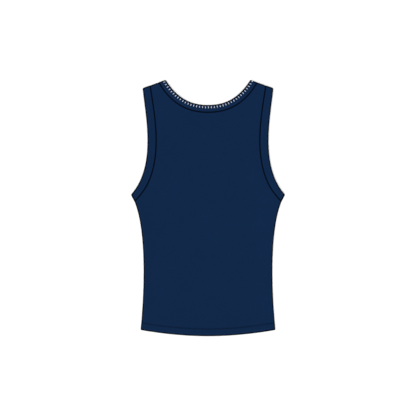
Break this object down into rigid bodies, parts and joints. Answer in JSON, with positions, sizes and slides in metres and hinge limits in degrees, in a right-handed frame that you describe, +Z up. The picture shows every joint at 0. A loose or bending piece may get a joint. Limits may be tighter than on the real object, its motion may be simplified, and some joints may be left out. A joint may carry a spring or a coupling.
{
  "type": "tank top",
  "caption": "Sleeveless tank top laid flat, back up, with a rib band round the neck and each armhole and a turned hem.",
  "frame": {"origin": "under the middle of the garment, on the surface that it lies on", "axes": "+X to the right of the picture, +Y from hem to neck, +Z up, out of the side that shows"},
  "size_m": [0.3682, 0.6136, 0.0052],
  "materials": {
    "back_panel": "matt single jersey, navy",
    "front_panel": "matt single jersey, navy",
    "neck_band": "matt fine rib, navy, with short white bar stitches",
    "armhole_band_left": "matt fine rib, navy",
    "armhole_band_right": "matt fine rib, navy"
  },
  "bodies": {
    "root": {"back_panel": "back_panel", "front_panel": "front_panel", "neck_band": "neck_band", "armhole_band_left": "armhole_band_left", "armhole_band_right": "armhole_band_right"}
  },
  "joints": []
}
